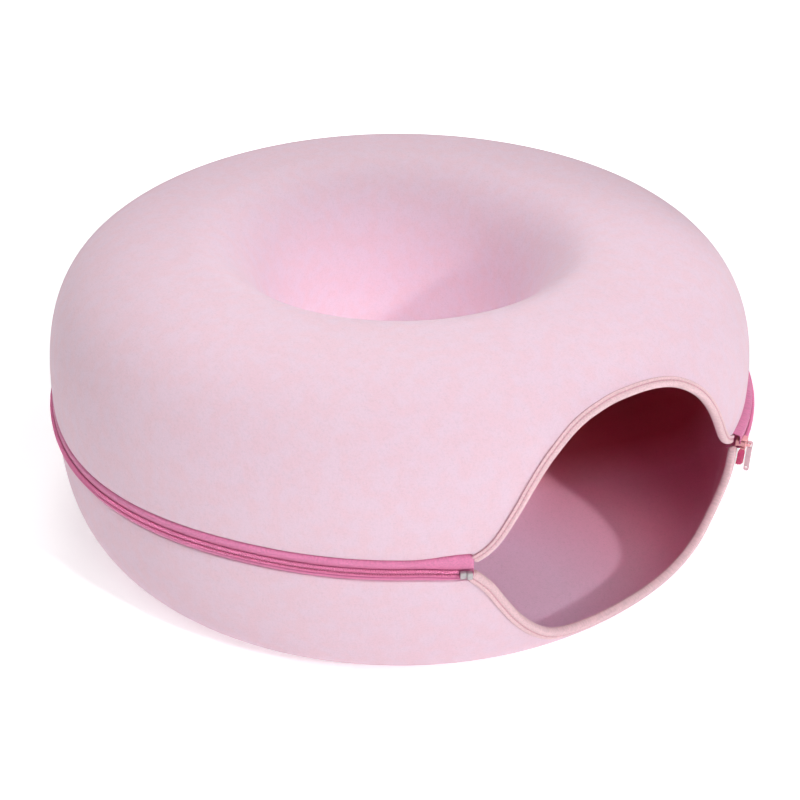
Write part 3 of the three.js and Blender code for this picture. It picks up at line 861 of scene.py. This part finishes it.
STITCH_OUT = GAP + 0.62 * BINDING
STITCH_SINK = 0.25 * MM
STITCH_SAMPLES = 1200
STITCH_SIDES = 6
STITCH_RINGS = [(-1, 0), (-0.94, 0.55), (-0.7, 0.95), (0, 1.05), (0.7, 0.95), (0.94, 0.55), (1, 0)]


def stitches(name, half, material):
    """Row of thread stitches in the groove between the binding's two pillows."""
    lip = Lip(half, lip_angles(half, spread(0, 1, STITCH_SAMPLES)))
    across = STITCH_SHARE * half.binding_width
    line, outer = (lip.point(across, out) for out in (STITCH_OUT, STITCH_OUT + MM))
    length = distances(line)
    count = int(length[-1] / STITCH_PITCH) - 1
    starts = np.arange(count) * STITCH_PITCH + (length[-1] - count * STITCH_PITCH) / 2
    points, faces = [], []
    for start in starts:
        base = len(points)
        for share, size in STITCH_RINGS:
            at = start + (0.5 + share / 2) * STITCH_LENGTH
            centre = point_on(line, length, at)
            run = unit(point_on(line, length, at + 0.2 * MM) - centre)
            out = unit(point_on(outer, length, at) - centre)
            side = np.cross(run, out)
            radius = STITCH_RADIUS * max(size, 0.1)
            sink = STITCH_SINK * (1 - math.cos(share * math.pi / 2))
            for turn in around(STITCH_SIDES):
                ray = side * math.cos(turn) + out * math.sin(turn)
                points.append(centre - out * sink + radius * ray)
        faces += tube_faces(len(STITCH_RINGS), STITCH_SIDES, base)
    return finish(mesh_object(name, points, outward(points, faces)), material, "binding")


# Zip tapes and coils

TAPE_COLUMNS = 520
TAPE_HIDDEN_FULL = 33


def slack_at(angle):
    return SLACK * (1 - ease(angle, TAPE_RIGHT, SLACK_END))


def zip_height_at(angle):
    return ZIP_HEIGHT - DROOP * ease(full_turn(angle), DROOP_START, DROOP_END)


def zip_tape(name, half, node, material):
    """One tape, from its edge hidden behind the felt, out past the felt's edge, to its coil."""
    angle = spread(half.tape_end, 360 + TAPE_LEFT, TAPE_COLUMNS)
    # The tape's corner is cut back behind the felt beside the slider
    hidden = MM + (TAPE_HIDDEN - MM) * ease(angle, TAPE_RIGHT, TAPE_HIDDEN_FULL)
    edge = WIDEST_HEIGHT + zip_edge_at(half, angle)
    outside = TAPE_RADIUS + slack_at(angle)
    middle = zip_height_at(angle)
    out = outside - TAPE_HIDDEN_RADIUS
    coil = middle + half.sign * (COIL_EDGE + GAP)
    near = half.sign * MM
    rows = [
        (TAPE_HIDDEN_RADIUS, edge + hidden * half.sign),
        (TAPE_HIDDEN_RADIUS, edge + near * 0.6),
        (TAPE_HIDDEN_RADIUS + 0.1 * out, edge - 0.1 * near),
        (TAPE_HIDDEN_RADIUS + 0.45 * out, edge - 0.45 * near),
        (TAPE_HIDDEN_RADIUS + 0.8 * out, edge - 0.9 * near),
        (TAPE_HIDDEN_RADIUS + 0.97 * out, edge - 1.5 * near),
        (outside + 0.15 * MM, edge - 2.3 * near),
        (outside + 0.15 * MM, (coil + edge) / 2 - 0.6 * near),
        (outside + 0.1 * MM, coil + 0.5 * near),
        (outside, coil),
        (outside, middle + half.sign * GAP),
    ]
    front = [place(r, angle, z) for r, z in rows]
    back = [place(r - TAPE, angle, z) for r, z in rows][::-1]
    piece = swept(name, np.stack(front + back), False)
    along = np.broadcast_to(np.radians(angle) * TAPE_RADIUS, (len(rows) * 2, angle.size))
    over = np.stack([z for _, z in rows + rows[::-1]])
    # Distance out from the line of painted shade beside the coil
    beside = half.sign * (over - middle) - half.seam
    set_lie(piece, along, over, beside)
    return finish(piece, material, "zip_tape", node)


TOOTH_PITCH = 1.45 * MM
TOOTH_WIRE = 0.5 * MM
TOOTH_SIDES = 8

# Core of the loops: its limits from the middle line, and its radii
CORE_HEIGHTS = (0.7 * MM, 2.1 * MM)
CORE_RADII = (247.1 * MM, 248.8 * MM)
CORE_SIDES = 10


def coil_row(name, half, node, material, offset):
    """Row of nylon loops, each up from the tape, to the middle line and back in."""
    low, high = TAPE_RADIUS + TOOTH_WIRE / 2, COIL_RADIUS - TOOTH_WIRE
    near, far = 0.28 * MM + TOOTH_WIRE, COIL_EDGE - TOOTH_WIRE
    # Each row of a loop is its radius, its height from the middle line and its lean in pitches
    loop = [
        (low, far, -0.15), (low + 0.6 * (high - low), far + 0.1 * MM, -0.1),
        (high - 0.1 * MM, far - 0.35 * MM, -0.05), (high + 0.1 * MM, (near + far) / 2, 0),
        (high - 0.1 * MM, near + 0.3 * MM, 0.05), (low + 0.55 * (high - low), near, 0.1),
        (low, near + 0.2 * MM, 0.15),
    ]
    pitch = math.degrees(TOOTH_PITCH / COIL_RADIUS)
    angles = np.arange(TAPE_RIGHT + pitch * (0.5 + offset), 360 + COIL_LEFT, pitch)
    run = unit(np.gradient(np.array(loop)[:, :2], axis=0))
    rings = []
    for (r, h, lean), (run_r, run_h) in zip(loop, run):
        for t in around(TOOTH_SIDES):
            sideways = TOOTH_WIRE * math.cos(t)
            outwards = TOOTH_WIRE * math.sin(t)
            radius = r - outwards * run_h + slack_at(angles)
            height = zip_height_at(angles) + half.sign * (h + outwards * run_r)
            turn = angles + lean * pitch + np.degrees(sideways / COIL_RADIUS)
            rings.append(place(radius, turn, height))
    points = list(np.stack(rings, axis=1).reshape(-1, 3))
    size = len(rings)
    one = outward(points[:size], tube_faces(len(loop), TOOTH_SIDES))
    faces = [tuple(v + n * size for v in face) for n in range(angles.size) for face in one]
    return finish(mesh_object(name, points, faces), material, "zip_coil", node)


def coil_core(name, half, material):
    """Cord inside the loops of one coil row."""
    angle = spread(TAPE_RIGHT, 360 + COIL_LEFT, TAPE_COLUMNS)
    middle_r, middle_h = sum(CORE_RADII) / 2, sum(CORE_HEIGHTS) / 2
    half_r, half_h = CORE_RADII[1] - middle_r, CORE_HEIGHTS[1] - middle_h
    rows = []
    for turn in around(CORE_SIDES):
        r = middle_r + half_r * math.cos(turn) + slack_at(angle)
        z = zip_height_at(angle) + half.sign * (middle_h + half_h * math.sin(turn))
        rows.append(place(r, angle, z))
    return finish(swept(name, np.stack(rows), False), material, "zip_coil")


# Small pieces at the zip's ends: plates with outlines in (X, Z) and thickness along Y


class ZipPlace:
    """Frame at an angle on the zip: X out from the ring's axis, Y along the zip, Z up."""

    def __init__(self, angle, slack):
        turn = math.radians(angle)
        self.out = Vector((math.sin(turn), -math.cos(turn), 0))
        self.along = Vector((math.cos(turn), math.sin(turn), 0))
        self.origin = self.out * slack + Vector((0, 0, float(zip_height_at(angle))))

    def point(self, x, y, z):
        return self.origin + self.out * x + self.along * y + Vector((0, 0, z))


def plate(outlines, limits, bevel):
    """Points and faces of a plate between two limits of Y; outlines after the first are holes."""
    start, end = limits
    curve = bpy.data.curves.new("plate", "CURVE")
    curve.dimensions = "2D"
    curve.fill_mode = "BOTH"
    curve.extrude = (end - start) / 2 - bevel
    curve.bevel_depth = bevel
    curve.bevel_resolution = 2
    for outline in outlines:
        spline = curve.splines.new("POLY")
        spline.points.add(len(outline) - 1)
        spline.use_cyclic_u = True
        for point, (x, z) in zip(spline.points, outline):
            point.co = (x, z, 0, 1)
    shape = add_object("plate", curve)
    shape.data.offset = -bevel
    mesh = bpy.data.meshes.new_from_object(shape.evaluated_get(bpy.context.evaluated_depsgraph_get()))
    bpy.data.objects.remove(shape)
    middle = (start + end) / 2
    points = [(v.co.x, middle - v.co.z, v.co.y) for v in mesh.vertices]
    faces = [tuple(face.vertices) for face in mesh.polygons]
    bpy.data.meshes.remove(mesh)
    return points, faces


def rectangle(x_range, z_range):
    (left, right), (bottom, top) = x_range, z_range
    return [(left, bottom), (right, bottom), (right, top), (left, top)]


def rounded_outline(x_range, z_range, radius, steps=5):
    """Rectangle with round corners."""
    (left, right), (bottom, top) = x_range, z_range
    corners = [(right, top, 0), (left, top, 1), (left, bottom, 2), (right, bottom, 3)]
    points = []
    for x, z, quarter in corners:
        cx = x - radius if x == right else x + radius
        cz = z - radius if z == top else z + radius
        for turn in spread(quarter * math.pi / 2, (quarter + 1) * math.pi / 2, steps):
            points.append((cx + radius * math.cos(turn), cz + radius * math.sin(turn)))
    return points


def block(x_range, y_range, z_range, radius, bevel):
    """Plate with round corners."""
    return plate([rounded_outline(x_range, z_range, radius)], y_range, bevel)


def small_piece(name, where, plates, material, slot, *nodes):
    """Piece joined from closed plates, set at its place on the zip."""
    mesh = bmesh.new()
    for points, faces in plates:
        verts = [mesh.verts.new(where.point(*p)) for p in points]
        for face in faces:
            mesh.faces.new([verts[k] for k in face])
    bmesh.ops.remove_doubles(mesh, verts=mesh.verts, dist=0.002 * MM)
    bmesh.ops.recalc_face_normals(mesh, faces=mesh.faces)
    data = bpy.data.meshes.new(name)
    mesh.to_mesh(data)
    mesh.free()
    return finish(add_object(name, data), material, slot, *nodes)


def make_stop(material):
    """Pressed clip over the coils' ends: two jaws side by side on a thin back strip."""
    where = ZipPlace(STOP_ANGLE, 0)
    half, side = STOP_HEIGHT / 2, STOP_LENGTH / 2
    joint, left_radii = STOP_JOINT / 2, (STOP_RADII[0], STOP_RADII[1] - 0.4 * MM)
    strip = rectangle(STOP_STRIP_RADII, (-half + 2 * STOP_STEP, half - 2 * STOP_STEP))
    plates = [
        block(left_radii, (-side, -joint), (-half + STOP_STEP, half), 0.8 * MM, 0.5 * MM),
        block(STOP_RADII, (joint, side), (-half, half - STOP_STEP), 1 * MM, 0.6 * MM),
        plate([strip], (-side + 0.5 * MM, side - 0.5 * MM), 0.1 * MM),
    ]
    return small_piece("stop_clip", where, plates, material, "stop_metal", "zip_stop")


def make_slider(material):
    """Slider: channel over the coils, inner plate, nose, and the bridge on its outer face."""
    where = ZipPlace(SLIDER_ANGLE, SLACK)
    half, height = SLIDER_LENGTH / 2, SLIDER_HALF_HEIGHT
    outer, end = SLIDER_OUTER_RADIUS, BRIDGE_HALF_LENGTH
    inside = outer - 0.3 * MM
    length = (-half, half)
    flange = (SLIDER_FLANGE_RADIUS, outer)
    bridge = BRIDGE_RADIUS + BRIDGE_BAR
    bridge_height = (-BRIDGE_HALF_HEIGHT, BRIDGE_HALF_HEIGHT)
    nose = rectangle((SLIDER_INNER_RADII[0] + 0.1 * MM, inside), (-1.6 * MM, 1.6 * MM))
    plates = [
        block((SLIDER_FACE_RADIUS, outer), length, (-height, height), 0.45 * MM, 0.4 * MM),
        block(flange, length, (height - SLIDER_WALL, height), 0.3 * MM, 0.25 * MM),
        block(flange, length, (-height, SLIDER_WALL - height), 0.3 * MM, 0.25 * MM),
        block(SLIDER_INNER_RADII, length, (-2.2 * MM, 2.2 * MM), 0.5 * MM, 0.4 * MM),
        plate([nose], (-half + 0.3 * MM, -1.6 * MM), 0.2 * MM),
        block((inside, bridge), (-end, BRIDGE_POST - end), bridge_height, 0.4 * MM, 0.25 * MM),
        block((inside, bridge), (end - BRIDGE_POST, end), bridge_height, 0.4 * MM, 0.25 * MM),
        block((BRIDGE_RADIUS, bridge), (0.2 * MM - end, end - 0.2 * MM), bridge_height,
              0.5 * MM, 0.3 * MM),
    ]
    return small_piece("slider_body", where, plates, material, "slider_paint", "zip_slider")


def make_pull(material):
    """Pull tab hanging from the bridge's bar through the slot at its top."""
    middle = BRIDGE_RADIUS + BRIDGE_BAR / 2
    side = PULL_WIDTH / 2
    tab = rounded_outline((middle - side, middle + side), (-PULL_DROP, PULL_TOP), 1.3 * MM, 7)
    slot = rounded_outline((middle - 1 * MM, middle + 1 * MM), (-2.5 * MM, 1 * MM), 0.5 * MM)[::-1]
    hole_z = PULL_HOLE_UP - PULL_DROP
    hole = [(middle + PULL_HOLE_RADIUS * math.cos(t), hole_z + PULL_HOLE_RADIUS * math.sin(t))
            for t in around(PULL_HOLE_SIDES)][::-1]
    tab_plate = plate([tab, slot, hole], (-PULL / 2, PULL / 2), 0.25 * MM)
    where = ZipPlace(SLIDER_ANGLE, SLACK)
    return small_piece("pull_tab", where, [tab_plate], material, "pull_paint", "zip_pull")


def make_tail(material):
    """Short end of the lower tape, turned down below the slider and twisted a little."""
    where = ZipPlace(SLIDER_ANGLE, SLACK)
    left, right = TAIL_RANGE
    width, middle = right - left, (left + right) / 2
    top = -SLIDER_HALF_HEIGHT - 0.1 * MM
    front, back = [], []
    for i in range(TAIL_ROWS):
        down = i / (TAIL_ROWS - 1)
        z = top - TAIL_LENGTH * down
        turn = TAIL_TURN * float(ease(down, -0.2, TAIL_TURNED))
        for k in range(TAIL_COLUMNS):
            across = k / (TAIL_COLUMNS - 1) - 0.5
            curl = 0.4 * MM * math.sin(down * math.pi)
            curl += 0.5 * MM * math.cos(across * 2 * math.pi) * down
            ragged = 0.4 * MM * math.sin(k * 2.3) if i == TAIL_ROWS - 1 else 0
            x = TAIL_RADIUS + across * width * math.sin(turn) + curl * math.cos(turn)
            y = middle + across * width * math.cos(turn) - curl * math.sin(turn)
            front.append(where.point(x, y, z + ragged))
            inset_x, inset_y = TAIL_THICKNESS * math.cos(turn), -TAIL_THICKNESS * math.sin(turn)
            back.append(where.point(x - inset_x, y - inset_y, z + ragged))
    count = len(front)
    faces = grid_faces(TAIL_ROWS, TAIL_COLUMNS, False, False).tolist()
    faces += [[v + count for v in f[::-1]] for f in faces]
    grid = np.arange(count).reshape(TAIL_ROWS, TAIL_COLUMNS)
    rim = [int(k) for k in (*grid[0], *grid[1:, -1], *grid[-1, -2::-1], *grid[-2:0:-1, 0])]
    for a, b in zip(rim, rim[1:] + rim[:1]):
        faces.append((a, a + count, b + count, b))
    points = np.array(front + back)
    piece = mesh_object("tail_tape", points, outward(points, faces))
    # It has no line of painted shade, so its weave simply follows its place
    set_lie(piece, *points.T)
    return finish(piece, material, "zip_tape", "zip_tail")


# Floor and light

FLOOR_SIZE = 6
FLOOR_GLOW_NEAR = 0.39
FLOOR_GLOW_FAR = 1.0
GLOW_START = 0.3
GLOW_END = 0.7

# Soft studio lights, round: azimuth, elevation, distance and diameter in metres, power in watts
LIGHTS = [
    ("key", -4, 40, 1.8, 0.9, 5.4),
    ("front_high", -30, 55, 1.6, 0.8, 2.2),
    ("right_high", 85, 58, 1.6, 0.8, 3.0),
    ("overhead", 0, 89, 1.6, 1.0, 4.2),
    ("left", -100, 40, 1.6, 0.8, 1.8),
    ("left_high", -70, 60, 1.6, 0.8, 3.4),
    ("back", 160, 50, 1.6, 0.8, 8.0),
]

# Lamp that lights the floor inside through the entrance, and washes over the front
ENTRANCE_POWER = 1050
ENTRANCE_SPREAD = 5.0
ENTRANCE_BLEND = 0.85
ENTRANCE_LAMP_RADIUS = 0.3
ENTRANCE_DISTANCE = 1.6
ENTRANCE_FROM = (14, 33)
ENTRANCE_AIM = Vector((-0.06, -0.16, 0.003))


def make_floor():
    """Pale floor, whose own glow grows away from the bed into an even white."""
    half = FLOOR_SIZE / 2
    corners = [(-half, -half, 0), (half, -half, 0), (half, half, 0), (-half, half, 0)]
    floor = mesh_object("floor", corners, [(0, 1, 2, 3)])
    shader = Shader("floor_white", (0.9, 0.9, 0.9), 0.9, specular=0.1)
    fill(shader.bsdf, {"Emission Color": (1, 1, 1, 1)})
    glow = shader.node("ShaderNodeMapRange", interpolation_type="SMOOTHSTEP")
    fill(glow, {"From Min": GLOW_START, "From Max": GLOW_END,
                "To Min": FLOOR_GLOW_NEAR, "To Max": FLOOR_GLOW_FAR})
    shader.link(shader.measure("LENGTH", shader.object_point()), glow.inputs["Value"])
    shader.link(glow.outputs["Result"], shader.bsdf.inputs["Emission Strength"])
    floor.data.materials.append(shader.material)


def make_world():
    """White backdrop that the camera sees, and which gives the bed no light."""
    world = bpy.data.worlds.new("studio")
    world.use_nodes = True
    tree = world.node_tree
    background = tree.nodes["Background"]
    fill(background, {"Color": (1, 1, 1, 1)})
    path = tree.nodes.new("ShaderNodeLightPath")
    tree.links.new(path.outputs["Is Camera Ray"], background.inputs["Strength"])
    bpy.context.scene.world = world


def make_lights():
    for name, azimuth, elevation, distance, size, power in LIGHTS:
        light = bpy.data.lights.new(name, "AREA")
        light.shape = "DISK"
        light.size = size
        light.energy = power
        aim(add_object(name, light), CAMERA_TARGET, direction(azimuth, elevation), distance)


def make_entrance_light():
    light = bpy.data.lights.new("entrance", "SPOT")
    light.energy = ENTRANCE_POWER
    light.spot_size = math.radians(ENTRANCE_SPREAD)
    light.spot_blend = ENTRANCE_BLEND
    light.shadow_soft_size = ENTRANCE_LAMP_RADIUS
    aim(add_object("entrance", light), ENTRANCE_AIM, direction(*ENTRANCE_FROM), ENTRANCE_DISTANCE)


# Build

BINDING_PITCH = 1.3 * MM
TAPE_PITCH = 0.8 * MM

make_camera()
felt = [felt_material("felt_outside", FELT_PINK, sheen=0.15, dark=0.92, tint=outside_mottle_and_painted_light),
        felt_material("felt_inside", FELT_PAINTED_LIT, sheen=0.3, dark=0.9, tint=inside_painted_light_and_shade)]
felt_upper = felt_half("felt_upper", UPPER, "shell_upper", felt, wall_rows=60, inner_rows=36)
felt_lower = felt_half("felt_lower", LOWER, "shell_lower", felt, wall_rows=48, inner_rows=30)

binding_cloth = woven_material("binding_pink", BINDING_PINK, BINDING_PITCH, seam=BINDING_PAINTED_SHADE)
thread = plain_material("thread_pink", THREAD_PINK, 0.7)
binding("binding_upper_tape", UPPER, "binding_upper", binding_cloth)
binding("binding_lower_tape", LOWER, "binding_lower", binding_cloth)
stitches("stitches_upper", UPPER, thread)
stitches("stitches_lower", LOWER, thread)

tape_cloth = woven_material("zip_tape_pink", TAPE_PINK, TAPE_PITCH, roughness=0.6, seam=TAPE_PAINTED_SHADE)
coil_nylon = plain_material("zip_coil_pink", COIL_PINK, 0.4)
coil_row("teeth_upper", UPPER, "zip_coil_upper", coil_nylon, offset=0)
coil_row("teeth_lower", LOWER, "zip_coil_lower", coil_nylon, offset=0.5)
coil_core("core_upper", UPPER, coil_nylon)
coil_core("core_lower", LOWER, coil_nylon)

stop_metal = plain_material("stop_metal", METAL_GREY, 0.45, metallic=1.0)
slider_metal = plain_material("slider_salmon", SLIDER_SALMON, 0.35)
pull_metal = plain_material("pull_pink", PULL_PINK, 0.4)
# The tail's cloth is painted dark as shade
tail_painted_shade_cloth = woven_material("tail_painted_shade", TAIL_PAINTED_SHADE, TAPE_PITCH)
make_stop(stop_metal)
make_slider(slider_metal)
make_pull(pull_metal)
tail_tape = make_tail(tail_painted_shade_cloth)
zip_tape("tape_upper", UPPER, "zip_tape_upper", tape_cloth)
zip_tape("tape_lower", LOWER, "zip_tape_lower", tape_cloth)

make_floor()
make_world()
make_lights()
make_entrance_light()
bpy.context.scene.view_settings.view_transform = "Standard"
